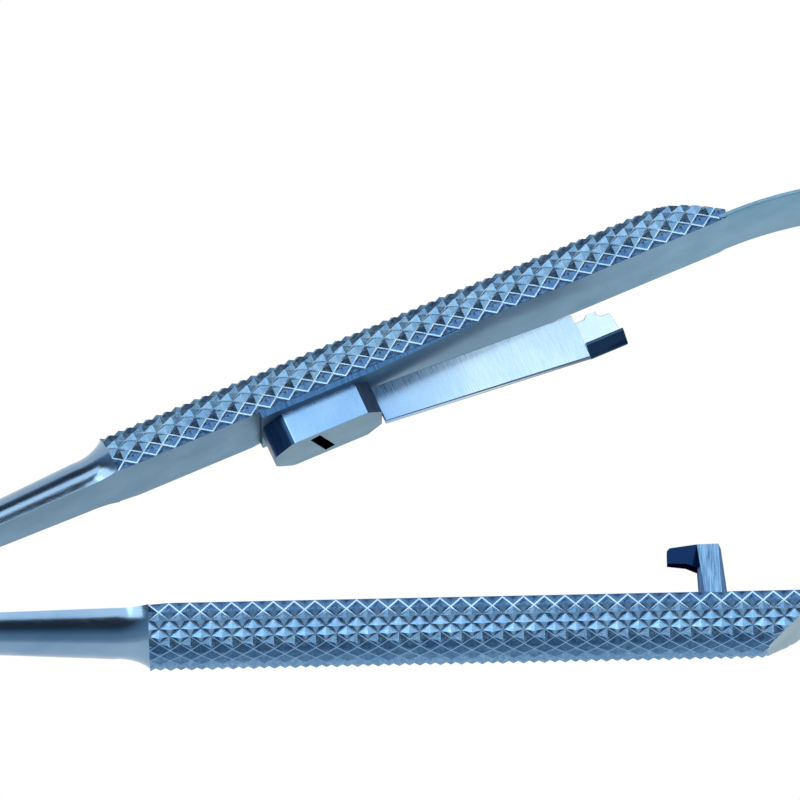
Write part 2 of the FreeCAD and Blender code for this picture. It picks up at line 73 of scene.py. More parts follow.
# How much of a face's normal lies along an axis, from a slight lean to square on.
LEANING = 0.3
SLANTED = 0.5
STEEP = 0.75
FACING = 0.8
UPRIGHT = 0.9
SQUARE = 0.99
# Nearly all values of a noise lie between these two.
NOISE_LOW = 0.3
NOISE_HIGH = 0.7
# A run along the arm, in millimetres from the pivot, that lies past every piece.
NO_FADE = (200.0, 201.0)
# Settings of a node that mixes two colours, the second by multiplying them.
MIXED = {"data_type": "RGBA"}
MULTIPLIED = {"data_type": "RGBA", "blend_type": "MULTIPLY"}
WHITE = "#FFFFFF"


class Side(Enum):
    """The two arms of the instrument, each with the sign of its side of the centre line."""

    CATCH = 1
    HOOK = -1


class ArmSlot(IntEnum):
    """The finishes of an arm, in the order of its material slots."""

    KNURL = 0
    POLISHED = 1
    BLASTED = 2
    GROOVE = 3
    PAD = 4
    PAD_END = 5
    RIM_KNURL = 6
    BACK_GROOVE = 7
    SLANTED_END = 8


class BlockSlot(IntEnum):
    """The finishes of the block, in the order of its material slots."""

    BRUSHED = 0
    BLASTED = 1
    RECESS = 2
    FRONT = 3
    REAR = 4


class LeverSlot(IntEnum):
    """The finishes of the lever, in the order of its material slots."""

    BLADE = 0
    PLATE = 1
    LEDGE = 2


class HookSlot(IntEnum):
    """The finishes of the hook, in the order of its material slots."""

    POST = 0
    NOSE = 1
    CHAMFER = 2


@dataclass(frozen=True)
class ArmFrame:
    """One arm's own axes: u along its flat from the pivot, v out of its back, z over the middle."""

    side: Side

    @property
    def turn(self) -> float:
        """Angle of the arm's flat from the centre line."""
        return self.side.value * HALF_OPENING

    def place(self, u: float, v: float, z: float) -> Vector:
        """Puts a point of the arm into the row frame.

        Args:
            u: Millimetres along the flat from the pivot.
            v: Millimetres out of the back of the grip.
            z: Millimetres over the middle plane.

        Returns:
            The point in metres.
        """
        a, s = self.turn, self.side.value
        x = u * math.cos(a) - s * v * math.sin(a)
        y = u * math.sin(a) + s * v * math.cos(a)
        return PIVOT + Vector((x, y, z)) * MM

    def aim(self, direction: Vector) -> Vector:
        """Turns a direction of the row frame into the arm's axes.

        Args:
            direction: A direction in the row frame.

        Returns:
            The same direction in the arm's axes.
        """
        a, s, d = self.turn, self.side.value, direction
        along = d.x * math.cos(a) + d.y * math.sin(a)
        out = s * (d.y * math.cos(a) - d.x * math.sin(a))
        return Vector((along, out, d.z))

    def read(self, point: Vector) -> Vector:
        """Reads a point of the row frame in the arm's axes.

        Args:
            point: The point in metres.

        Returns:
            Its u, v and z in millimetres.
        """
        return self.aim((point - PIVOT) / MM)


def linear(code: str) -> tuple[float, float, float, float]:
    """Turns an sRGB hex colour into the linear colour that a socket takes.

    Args:
        code: Six hex digits after a hash.

    Returns:
        Red, green, blue and alpha.
    """
    parts = [int(code[i : i + 2], 16) / 255 for i in (1, 3, 5)]
    return (*[p / 12.92 if p <= 0.04045 else ((p + 0.055) / 1.055) ** 2.4 for p in parts], 1.0)


def add(tree: Tree, kind: str, settings: dict | None = None, **inputs) -> bpy.types.Node:
    """Adds a node with its settings, values and links.

    Args:
        tree: The node tree that gets it.
        kind: The node's type name.
        settings: Attributes to set on the node, and as "stops" a colour ramp's positions with
            their sRGB hex colours.
        **inputs: Sockets by name or "_" and number, each a value or another node's output.

    Returns:
        The new node.
    """
    made = tree.nodes.new(kind)
    for key, value in (settings or {}).items():
        if key != "stops":
            setattr(made, key, value)
            continue
        elements = made.color_ramp.elements
        while len(elements) < len(value):
            elements.new(0.5)
        for element, (position, code) in zip(elements, value):
            element.position = position
            element.color = linear(code)
    for key, value in inputs.items():
        socket = made.inputs[int(key[1:]) if key[0] == "_" else key.replace("_", " ")]
        if isinstance(value, Socket):
            tree.links.new(value, socket)
        else:
            socket.default_value = value
    return made


@dataclass(frozen=True)
class Titanium(ABC):
    """Anodised titanium: a metal whose thin oxide gives it the blue.

    Patterns lie in the arm's own axes. The scale of a noise is in waves per millimetre.
    """

    name: str
    side: Side | None = None

    @abstractmethod
    def surface(self, tree: Tree) -> None:
        """Draws the finish.

        Args:
            tree: The material's empty node tree.
        """

    def material(self) -> bpy.types.Material:
        """Makes the node material.

        Returns:
            The material.
        """
        material = bpy.data.materials.new(self.name)
        material.use_nodes = True
        material.node_tree.nodes.clear()
        self.surface(material.node_tree)
        return material

    def coordinates(self, tree: Tree, stretch: tuple[float, float, float] = (1, 1, 1)) -> Socket:
        """Gives the arm's own u, v and z in millimetres, stretched for a pattern.

        Args:
            tree: The material's node tree.
            stretch: Factors on the three axes.

        Returns:
            The vector socket.
        """
        turn = 0.0 if self.side is None else self.side.value * HALF_OPENING
        place = add(tree, "ShaderNodeTexCoord").outputs["Object"]
        away = (-PIVOT.x * math.cos(turn), PIVOT.x * math.sin(turn), -PIVOT.z)
        level = add(tree, "ShaderNodeMapping", Vector=place, Location=away, Rotation=(0, 0, -turn))
        scale = tuple(s / MM for s in stretch)
        return add(tree, "ShaderNodeMapping", Vector=level.outputs[0], Scale=scale).outputs[0]

    def patches(
        self, tree: Tree, scale: float, tints: tuple[str, str], detail: float = 2.0
    ) -> Socket:
        """Draws slow patches between two tints, as an uneven oxide has them.

        Args:
            tree: The material's node tree.
            scale: The noise's scale.
            tints: The two sRGB hex colours.
            detail: The noise's detail.

        Returns:
            The colour socket.
        """
        where = self.coordinates(tree)
        slow = add(tree, "ShaderNodeTexNoise", Vector=where, Scale=scale, Detail=detail)
        stops = {"stops": [(NOISE_LOW, tints[0]), (NOISE_HIGH, tints[1])]}
        return add(tree, "ShaderNodeValToRGB", stops, Fac=slow.outputs["Fac"]).outputs["Color"]

    def fade(self, tree: Tree, near: Socket, far: Socket, run: tuple[float, float]) -> Socket:
        """Goes over from one colour to another along the arm.

        Args:
            tree: The material's node tree.
            near: The colour towards the pivot.
            far: The colour towards the butt.
            run: Where it begins and ends, in millimetres from the pivot.

        Returns:
            The colour socket.
        """
        along = add(tree, "ShaderNodeSeparateXYZ", Vector=self.coordinates(tree)).outputs["X"]
        share = add(tree, "ShaderNodeMapRange", Value=along, From_Min=run[0], From_Max=run[1])
        return add(tree, "ShaderNodeMix", MIXED, _0=share.outputs[0], _6=near, _7=far).outputs[2]

    def close(
        self,
        tree: Tree,
        colour: Socket,
        pattern: Socket,
        gloss: tuple[float, float],
        relief: tuple[float, float],
        **inputs,
    ) -> None:
        """Ends the tree in a metal shader whose roughness and bump follow one pattern.

        Args:
            tree: The material's node tree.
            colour: The colour socket.
            pattern: The pattern's height.
            gloss: The roughness in the pattern's low and high places.
            relief: The bump's strength, and its depth in millimetres.
            **inputs: More of the shader's sockets.
        """
        low, high = gloss
        span = {"From_Min": NOISE_LOW, "From_Max": NOISE_HIGH, "To_Min": low, "To_Max": high}
        rough = add(tree, "ShaderNodeMapRange", Value=pattern, **span)
        strength, depth = relief
        bump = add(tree, "ShaderNodeBump", Strength=strength, Distance=depth * MM, Height=pattern)
        inputs |= {"Base_Color": colour, "Roughness": rough.outputs[0], "Normal": bump.outputs[0]}
        shader = add(tree, "ShaderNodeBsdfPrincipled", Metallic=1.0, **inputs)
        add(tree, "ShaderNodeOutputMaterial", Surface=shader.outputs[0])


@dataclass(frozen=True)
class KnurledTitanium(Titanium):
    """Knurled and anodised titanium: blue pyramids that catch the lamps, and rolled grooves painted
    paler as a painted highlight of the light their hollow bottoms gather.

    The wash is two tints that multiply the colour in slow patches. The darker washes of the catch
    arm's knurl, of the rows by the rim and of the back grooves are painted shade.
    """

    groove: bool = False
    wash: tuple[str, str] = ("#E3E9F5", WHITE)

    def surface(self, tree: Tree) -> None:
        """Draws the finish.

        Args:
            tree: The material's empty node tree.
        """
        # The grooves' paler colours are a painted highlight, for the light their hollow bottoms gather.
        if self.groove:
            stops, gloss = [(0.3, "#A8D2F0"), (0.7, "#CCEAFC")], (0.3, 0.42)
        else:
            stops, gloss = [(0.25, "#5C84A8"), (0.55, "#76A0C2"), (0.8, "#A0C4DC")], (0.2, 0.32)
        # The oxide wears in spots of about 0.3 mm, a fifth of a pyramid.
        where = self.coordinates(tree)
        spots = add(tree, "ShaderNodeTexNoise", Vector=where, Scale=3.2, Detail=5.0, Roughness=0.6)
        grain = spots.outputs["Fac"]
        colour = add(tree, "ShaderNodeValToRGB", {"stops": stops}, Fac=grain).outputs["Color"]
        tone = self.patches(tree, 0.35, self.wash)
        both = add(tree, "ShaderNodeMix", MULTIPLIED, _0=1.0, _6=colour, _7=tone).outputs[2]
        self.close(tree, both, grain, gloss, (0.22, 0.03))


@dataclass(frozen=True)
class PolishedTitanium(Titanium):
    """Buffed and anodised titanium: a smooth deep blue that shows the lamps as long streaks."""

    dark: str = "#7696B6"
    light: str = "#86A6C2"

    def surface(self, tree: Tree) -> None:
        """Draws the finish.

        Args:
            tree: The material's empty node tree.
        """
        # Buffing lines are much finer than these, which are 1 mm long and 0.08 mm apart to show.
        where = self.coordinates(tree, (0.25, 3, 3))
        lines = add(tree, "ShaderNodeTexNoise", Vector=where, Scale=4.0, Detail=4.0)
        colour = self.patches(tree, 0.25, (self.dark, self.light))
        self.close(tree, colour, lines.outputs["Fac"], (0.13, 0.22), (0.06, 0.01))


@dataclass(frozen=True)
class BlastedTitanium(Titanium):
    """Bead-blasted and anodised titanium: a matt grey blue with a fine grain that mirrors nothing.

    Over the run, in millimetres from the pivot, the near tints go over to the far ones.
    """

    near: tuple[str, str] = ("#7C9DB0", "#8CACBE")
    far: tuple[str, str] = ("#7C9DB0", "#8CACBE")
    run: tuple[float, float] = NO_FADE

    def surface(self, tree: Tree) -> None:
        """Draws the finish.

        Args:
            tree: The material's empty node tree.
        """
        # Blasting leaves dimples of about 0.05 mm; these are 0.11 mm, the finest that shows.
        where = self.coordinates(tree)
        dots = add(tree, "ShaderNodeTexNoise", Vector=where, Scale=9.0, Detail=4.0, Roughness=0.7)
        near = self.patches(tree, 0.3, self.near, 3.0)
        far = self.patches(tree, 0.3, self.far, 3.0)
        colour = self.fade(tree, near, far, self.run)
        self.close(tree, colour, dots.outputs["Fac"], (0.48, 0.6), (0.25, 0.02))


@dataclass(frozen=True)
class BrushedTitanium(Titanium):
    """Cross-brushed and anodised titanium: a light blue with streaks across the piece's length.

    Over the run, in millimetres from the pivot, the light tint goes over to the pale one, which is
    a painted highlight. The grazing tint colours what the metal mirrors at a flat angle.
    """

    dark: str = "#6C98CF"
    light: str = "#9CC2EC"
    pale: str = "#9CC2EC"
    run: tuple[float, float] = NO_FADE
    gloss: tuple[float, float] = (0.24, 0.4)
    grazing: str = WHITE

    def surface(self, tree: Tree) -> None:
        """Draws the finish.

        Args:
            tree: The material's empty node tree.
        """
        # Grinding leaves streaks of about 0.02 mm; these are 0.08 mm, the finest that shows.
        where = self.coordinates(tree, (1, 0.06, 0.06))
        streaks = add(
            tree, "ShaderNodeTexNoise", Vector=where, Scale=12.0, Detail=4.0, Roughness=0.55
        )
        streak = streaks.outputs["Fac"]
        stops = {"stops": [(0.2, self.dark), (0.8, self.light)]}
        near = add(tree, "ShaderNodeValToRGB", stops, Fac=streak).outputs["Color"]
        stops = {"stops": [(0.15, self.light), (0.6, self.pale)]}
        far = add(tree, "ShaderNodeValToRGB", stops, Fac=streak).outputs["Color"]
        colour = self.fade(tree, near, far, self.run)
        tone = self.patches(tree, 0.22, ("#E6EEFA", WHITE))
        both = add(tree, "ShaderNodeMix", MULTIPLIED, _0=1.0, _6=colour, _7=tone).outputs[2]
        sheen = linear(self.grazing)
        self.close(tree, both, streak, self.gloss, (0.04, 0.02), Specular_Tint=sheen)


def only(piece: Piece) -> None:
    """Leaves one object selected and active.

    Args:
        piece: The object to work on.
    """
    if bpy.context.mode != "OBJECT":
        bpy.ops.object.mode_set(mode="OBJECT")
    bpy.ops.object.select_all(action="DESELECT")
    piece.select_set(True)
    bpy.context.view_layer.objects.active = piece


def edit(piece: Piece, select_mode: str = "FACE") -> bmesh.types.BMesh:
    """Opens an object in edit mode with nothing selected.

    Args:
        piece: The object to work on.
        select_mode: VERT, EDGE or FACE.

    Returns:
        Its edit mesh, for choosing what the operators act on.
    """
    only(piece)
    bpy.ops.object.mode_set(mode="EDIT")
    bpy.ops.mesh.select_mode(type=select_mode)
    bpy.ops.mesh.select_all(action="DESELECT")
    return bmesh.from_edit_mesh(piece.data)


def leave(piece: Piece) -> None:
    """Goes back to object mode.

    Args:
        piece: The object that was worked on.
    """
    bmesh.update_edit_mesh(piece.data)
    bpy.ops.object.mode_set(mode="OBJECT")


def sheet(name: str, size: float = 1.0) -> Piece:
    """Adds a flat square with nothing else selected.

    Args:
        name: The object's name.
        size: Its side in metres.

    Returns:
        The square.
    """
    bpy.ops.object.select_all(action="DESELECT")
    bpy.ops.mesh.primitive_plane_add(size=size)
    piece = bpy.context.object
    piece.name = piece.data.name = name
    return piece


def merged_copy(node: str) -> Piece:
    """Copies a CAD node as a piece of its own, with its loose triangles merged.

    Args:
        node: The CAD node.

    Returns:
        The copy, with its own mesh and the node's name with "_dressed" after it.
    """
    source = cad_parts[node]
    piece = bpy.data.objects.new(f"{node}_dressed", source.data.copy())
    bpy.context.scene.collection.objects.link(piece)
    piece.data.materials.clear()
    edit(piece, "VERT")
    bpy.ops.mesh.select_all(action="SELECT")
    bpy.ops.mesh.remove_doubles(threshold=SAME_POINT)
    leave(piece)
    bpy.ops.mesh.customdata_custom_splitnormals_clear()
    return piece


def clear_slivers(piece: Piece) -> None:
    """Merges points that a bevel left on top of each other and dissolves faces without area.

    Args:
        piece: The piece that was bevelled.
    """
    edit(piece, "VERT")
    bpy.ops.mesh.select_all(action="SELECT")
    bpy.ops.mesh.remove_doubles(threshold=SLIVER)
    bpy.ops.mesh.dissolve_degenerate(threshold=SLIVER)
    leave(piece)


def shape(piece: Piece, kind: str, **settings) -> None:
    """Gives a piece a modifier and applies it.

    Args:
        piece: The piece.
        kind: The modifier's type name.
        **settings: The modifier's attributes.
    """
    only(piece)
    modifier = piece.modifiers.new(kind.lower(), kind)
    for key, value in settings.items():
        setattr(modifier, key, value)
    bpy.ops.object.modifier_apply(modifier=modifier.name)


def soften(piece: Piece, width: float, degrees: float = 30.0, segments: int = 1) -> None:
    """Rounds a piece's sharp edges.

    Args:
        piece: The piece.
        width: The rounding's width in millimetres.
        degrees: The least angle of an edge that is rounded.
        segments: Steps in the rounding.
    """
    limit = {"limit_method": "ANGLE", "angle_limit": math.radians(degrees)}
    shape(piece, "BEVEL", width=width * MM, segments=segments, **limit)


def smooth(piece: Piece, degrees: float) -> None:
    """Shades a piece smooth except over edges sharper than the angle.

    Args:
        piece: The piece.
        degrees: The angle.
    """
    only(piece)
    bpy.ops.object.shade_smooth_by_angle(angle=math.radians(degrees))


def paint(
    piece: Piece,
    finishes: dict[IntEnum, Titanium],
    choose: Callable[[Vector, Vector], IntEnum],
) -> None:
    """Gives every face of a piece one of several finishes.

    Args:
        piece: The piece.
        finishes: The finish of each slot, in the order of the slots.
        choose: Gives the slot from a face's centre and normal.
    """
    for finish in finishes.values():
        piece.data.materials.append(finish.material())
    for face in piece.data.polygons:
        face.material_index = choose(face.center, face.normal)


def share_of(x: float, zero: float, one: float) -> float:
    """Tells how far a value lies on the way from one number to another.

    Args:
        x: The value.
        zero: Where the share is 0.
        one: Where the share is 1.

    Returns:
        The share, from 0 to 1.
    """
    return min(max((x - zero) / (one - zero), 0.0), 1.0)


def arc(a: Vector, b: Vector, radius: float, side: int, count: int) -> list[Vector]:
    """Gives points on an arc between two ends.

    Args:
        a: The start.
        b: The end.
        radius: The arc's radius.
        side: 1 where the arc bulges to the left of the run from a to b, -1 for the right.
        count: How many steps.

    Returns:
        The points, both ends included.
    """
    half = (b - a).length / 2
    run = (b - a).normalized()
    left = Vector((-run.y, run.x))
    centre = (a + b) / 2 - left * side * math.sqrt(max(radius**2 - half**2, 0.0))
    first = (a - centre).angle_signed(Vector((1, 0)))
    last = (b - centre).angle_signed(Vector((1, 0)))
    steps = [first + (last - first) * k / count for k in range(count + 1)]
    return [centre + Vector((math.cos(t), math.sin(t))) * radius for t in steps]


# Tints of the arms and leaves, each a darker and a lighter one.
# The catch arm's knurl tints are darker and greyer than the hook arm's: painted shade on the same metal.
KNURL_TONE_AND_SHADE = {Side.CATCH: ("#CCD0D8", "#E6E4E2"), Side.HOOK: ("#E3E9F5", WHITE)}
# The rows of knurl by the flat's rim are darkened by these tints as painted shade.
RIM_KNURL_PAINTED_SHADE = ("#96A8C4", "#AEBCD2")
# The grooves on the back of the grip are darkened by these tints as painted shade.
BACK_GROOVE_PAINTED_SHADE = ("#A8BACC", "#B4C6D6")
# The flats go over from these darker tints near the pivot to the leaf's lighter ones towards the butt:
# painted shade under the block and lever.
FLAT_TINTS = ("#6E94AE", "#7EA2BB")
LEAF_TINTS = ("#78A3BC", "#88B3CB")
# The slanted end's tints are lighter than the flats', though it is the same blasted metal: painted light.
SLANTED_TINTS = ("#94AFBB", "#A8C1CB")


@dataclass
class GripArm:
    """One arm in a single bar: jaw, lap, round neck and half-round knurled grip, slanted end.

    Sizes are in millimetres in the arm's own axes, and a groove's least fold is in radians.
    """

    side: Side
    node: str
    knurl_start: float = 28.3
    knurl_end: float = 80.1
    knurl_margin: float = 0.05
    root: float = 3.62
    root_slack: float = 0.15
    rim: float = 3.74
    rim_end: float = 81.5
    rim_slack: float = 0.1
    rim_height: float = 0.02
    rim_row: float = 0.72
    flat_height: float = 0.6
    flat_fade: tuple[float, float] = (58.0, 78.0)
    pad_rise: float = 0.01
    pad_start: float = 40.0
    slant_start: float = 70.0
    groove_half_width: float = 0.06
    groove_length: float = 0.6
    groove_fold: float = 0.5
    groove_foot: float = 0.06
    groove_head: float = 0.02
    back_from: float = 2.9
    smooth_angle: float = 24.0

    def build(self) -> Piece:
        """Copies the arm, evens its rim, dresses it and opens its grooves.

        Returns:
            The piece.
        """
        piece = merged_copy(self.node)
        self.even_rim(piece)
        paint(piece, self.finishes(), self.region)
        self.open_grooves(piece)
        smooth(piece, self.smooth_angle)
        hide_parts(self.node)
        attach(piece, self.node)
        return piece

    def region(self, centre: Vector, normal: Vector) -> ArmSlot:
        """Tells which finish a face has.

        Args:
            centre: The face's centre.
            normal: The face's normal.

        Returns:
            The finish's slot. The two grooves' slots come later, with the grooves.
        """
        axes = ArmFrame(self.side)
        p, n = axes.read(centre), axes.aim(normal)
        on_pad = self.side is Side.CATCH and p.y < -self.pad_rise
        if on_pad and abs(n.z) > SLANTED and p.x > self.pad_start:
            return ArmSlot.PAD
        if on_pad and n.x < -FACING:
            return ArmSlot.PAD_END
        if n.y < -SQUARE and p.y < self.flat_height:
            return ArmSlot.BLASTED
        on_grip = self.knurl_start - self.knurl_margin < p.x < self.knurl_end
        outside = math.hypot(p.y, p.z) > self.root - self.root_slack
        if on_grip and outside and abs(n.x) < STEEP:
            return ArmSlot.RIM_KNURL if p.y < self.rim_row else ArmSlot.KNURL
        return ArmSlot.SLANTED_END if p.x > self.slant_start else ArmSlot.POLISHED

    def even_rim(self, piece: Piece) -> None:
        """Draws the rim of the grip's flat straight, as milling the flat after the knurl leaves it.

        Args:
            piece: The arm.
        """
        axes = ArmFrame(self.side)
        for vert in piece.data.vertices:
            p = axes.read(vert.co)
            on_flat = self.knurl_start < p.x < self.rim_end and abs(p.y) < self.rim_height
            if on_flat and abs(p.z) > self.root - self.rim_slack:
                vert.co = axes.place(p.x, p.y, math.copysign(self.rim, p.z))

    def finishes(self) -> dict[IntEnum, Titanium]:
        """Lists the arm's finishes.

        Returns:
            The finish of each slot.
        """
        side, word = self.side, self.side.name.lower()
        return {
            ArmSlot.KNURL: KnurledTitanium(
                f"knurled blue anodised titanium {word}", side, wash=KNURL_TONE_AND_SHADE[side]
            ),
            ArmSlot.POLISHED: PolishedTitanium(f"polished blue anodised titanium {word}", side),
            # Darker towards the pivot and lighter towards the butt: painted shade along the flat.
            ArmSlot.BLASTED: BlastedTitanium(
                f"blasted blue anodised titanium {word}",
                side,
                near=FLAT_TINTS,
                far=LEAF_TINTS,
                run=self.flat_fade,
            ),
            # The grooves are painted paler as a painted highlight.
            ArmSlot.GROOVE: KnurledTitanium(
                f"rolled groove of anodised titanium {word}", side, groove=True
            ),
            ArmSlot.PAD: BrushedTitanium(
                f"milled pad of anodised titanium {word}", side, "#4E86C4", "#74ACE2"
            ),
            # The pad's end is painted dark navy as painted shade.
            ArmSlot.PAD_END: BrushedTitanium(
                f"ground pad end of anodised titanium {word}",
                side,
                dark="#16283E",
                light="#22384E",
                gloss=(0.4, 0.5),
            ),
            ArmSlot.RIM_KNURL: KnurledTitanium(
                f"knurl by the rim of anodised titanium {word}", side, wash=RIM_KNURL_PAINTED_SHADE
            ),
            ArmSlot.BACK_GROOVE: KnurledTitanium(
                f"groove on the back of anodised titanium {word}", side, groove=True, wash=BACK_GROOVE_PAINTED_SHADE
            ),
            # The slanted end's lighter tints are painted light.
            ArmSlot.SLANTED_END: BlastedTitanium(
                f"blasted slanted end {word}", side, SLANTED_TINTS, SLANTED_TINTS
            ),
        }

    def open_grooves(self, piece: Piece) -> None:
        """Gives the knurl's grooves a narrow flat bottom.

        Args:
            piece: The arm.
        """
        axes = ArmFrame(self.side)
        knurled = (ArmSlot.KNURL, ArmSlot.RIM_KNURL)
        mesh = edit(piece, "EDGE")
        for edge in mesh.edges:
            faces = edge.link_faces
            if len(faces) != 2 or any(f.material_index not in knurled for f in faces):
                continue
            first, second = faces
            across = second.calc_center_median() - first.calc_center_median()
            hollow = across.dot(first.normal) > 0
            ends = [axes.read(v.co) for v in edge.verts]
            reach = sorted(math.hypot(p.y, p.z) for p in ends)
            low = reach[0] < self.root + self.groove_foot and reach[1] < self.rim + self.groove_head
            long = edge.calc_length() > self.groove_length * MM
            in_groove = hollow and low and long
            if in_groove and first.normal.angle(second.normal) > self.groove_fold:
                edge.select_set(True)
        bmesh.update_edit_mesh(piece.data)
        bpy.ops.mesh.bevel(
            offset=self.groove_half_width * MM,
            segments=1,
            affect="EDGES",
            clamp_overlap=False,
            material=int(ArmSlot.GROOVE),
        )
        leave(piece)
        clear_slivers(piece)
        # Grooves on the back of the grip take the finish with painted shade.
        for face in piece.data.polygons:
            on_back = axes.read(face.center).y > self.back_from
            if face.material_index == ArmSlot.GROOVE and on_back:
                face.material_index = ArmSlot.BACK_GROOVE


@dataclass
class SpringLeaf:
    """One flat spring leaf: it leaves its grip's end, bows in to the middle and tapers to the butt.

    Sizes are in millimetres. The path's points are about the pivot, on the catch side.
    """

    side: Side
    node: str
    start: tuple[float, float] = (78.46, 15.68)
    bow: tuple[float, float] = (98.02, 13.24)
    dip: tuple[float, float] = (118.60, 1.36)
    flat: tuple[float, float] = (123.60, 0.02)
    end: tuple[float, float] = (128.60, 0.02)
    bow_radius: float = 31.2
    bow_steps: int = 14
    run_steps: int = 12
    dip_radius: float = 10.0
    dip_steps: int = 8
    let_in: float = 0.7
    thick: float = 0.65
    thin: float = 0.36
    wide: float = 7.8
    butt_wide: float = 5.4
    taper_start: float = 98.0
    round_off: float = 0.12
    round_angle: float = 50.0
    round_steps: int = 2
    smooth_angle: float = 40.0

    def path(self) -> list[Vector]:
        """Works out points along the leaf's inner side: two arcs joined by a straight run.

        Returns:
            The points, from inside the grip to the butt.
        """
        start, bow, dip, flat = (Vector(p) for p in (self.start, self.bow, self.dip, self.flat))
        along_grip = Vector((math.cos(HALF_OPENING), math.sin(HALF_OPENING)))
        points = [start - along_grip * self.let_in]
        points += arc(start, bow, self.bow_radius, 1, self.bow_steps)
        points += [bow.lerp(dip, k / self.run_steps) for k in range(1, self.run_steps)]
        points += arc(dip, flat, self.dip_radius, -1, self.dip_steps)
        points.append(Vector(self.end))
        return points

    def build(self) -> Piece:
        """Makes the strip, gives it thickness and lets it bend with the arms.

        Returns:
            The piece.
        """
        points = self.path()
        piece = self.strip(points)
        self.thicken(piece, points)
        soften(piece, self.round_off, self.round_angle, self.round_steps)
        smooth(piece, self.smooth_angle)
        name = f"blasted spring titanium {self.side.name.lower()}"
        piece.data.materials.append(BlastedTitanium(name, self.side, LEAF_TINTS).material())
        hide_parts(self.node)
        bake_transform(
            piece, "hook_arm", "lock_arm", start=(0.06, -0.013, 0.004), end=(0.06, 0.013, 0.004)
        )
        self.spread_bend(piece)
        return piece

    def strip(self, points: list[Vector]) -> Piece:
        """Extrudes the end of a flat sheet along the path.

        Args:
            points: The path.

        Returns:
            The strip, which has no thickness yet.
        """
        piece = sheet(f"{self.node}_dressed")
        mesh = edit(piece, "VERT")
        corners = sorted(mesh.verts, key=lambda v: (v.co.x, v.co.y))
        spots = [(points[0], -1), (points[0], 1), (points[1], -1), (points[1], 1)]
        for vert, (point, up) in zip(corners, spots):
            vert.co = self.spot(point, up)
        for edge in mesh.edges:
            if all(vert in corners[2:] for vert in edge.verts):
                edge.select_set(True)
        bmesh.update_edit_mesh(piece.data)
        for before, point in zip(points[1:], points[2:]):
            step = self.spot(point, 0) - self.spot(before, 0)
            bpy.ops.mesh.extrude_region_move(TRANSFORM_OT_translate={"value": step})
            for vert in bmesh.from_edit_mesh(piece.data).verts:
                if vert.select:
                    vert.co = self.spot(point, 1 if vert.co.z > PIVOT.z else -1)
        leave(piece)
        return piece

    def thicken(self, piece: Piece, points: list[Vector]) -> None:
        """Gives the strip its thickness, with its inner side on the path, and faces it outwards.

        Args:
            piece: The strip.
            points: The path.
        """
        shape(piece, "SOLIDIFY", thickness=self.thick * MM, offset=0.0)
        for vert in piece.data.vertices:
            here = (vert.co - PIVOT) / MM
            level = Vector((here.x, abs(here.y)))
            nearest = min(range(len(points)), key=lambda k: (points[k] - level).length)
            before = points[max(nearest - 1, 0)]
            after = points[min(nearest + 1, len(points) - 1)]
            run = (after - before).normalized()
            normal = Vector((-run.y, run.x))
            apart = Vector((here.x, self.side.value * here.y)) - points[nearest]
            if apart.dot(normal) > 0:
                out = normal * (self.thickness_at(here.x) - self.thick / 2)
            else:
                out = normal * (self.thick / 2)
            vert.co += Vector((out.x, self.side.value * out.y, 0)) * MM
        edit(piece)
        bpy.ops.mesh.select_all(action="SELECT")
        bpy.ops.mesh.normals_make_consistent(inside=False)
        leave(piece)

    def spread_bend(self, piece: Piece) -> None:
        """Spreads the turn between the arms along the leaf, as a spring clamped at each end does.

        At the grip the leaf follows its own arm. At the butt it follows both arms in equal parts,
        so that the two leaves stay together there and don't cross on the way.

        Args:
            piece: The leaf, already blended between the two arms.
        """
        weights = piece.data.attributes["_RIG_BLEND"].data
        for vert, weight in zip(piece.data.vertices, weights):
            x = (vert.co.x - PIVOT.x) / MM
            share = share_of(x, self.flat[0], self.start[0])
            weight.value = 0.5 + self.side.value * 0.5 * share**2 * (3 - 2 * share)

    def width_at(self, x: float) -> float:
        """Gives the leaf's width at a distance from the pivot.

        Args:
            x: Millimetres from the pivot.

        Returns:
            The width in millimetres.
        """
        share = share_of(x, self.taper_start, self.flat[0])
        return self.wide + (self.butt_wide - self.wide) * share

    def thickness_at(self, x: float) -> float:
        """Gives the leaf's thickness at a distance from the pivot, from thin at the grip to full.

        Args:
            x: Millimetres from the pivot.

        Returns:
            The thickness in millimetres.
        """
        share = share_of(x, self.taper_start, self.flat[0])
        return self.thin + (self.thick - self.thin) * share

    def spot(self, point: Vector, up: int) -> Vector:
        """Places a point of the leaf's edge in the row frame.

        Args:
            point: The point about the pivot on the catch side.
            up: -1 for the lower edge, 0 for the middle, 1 for the upper edge.

        Returns:
            The point in metres.
        """
        z = up * self.width_at(point.x) / 2
        return PIVOT + Vector((point.x, self.side.value * point.y, z)) * MM


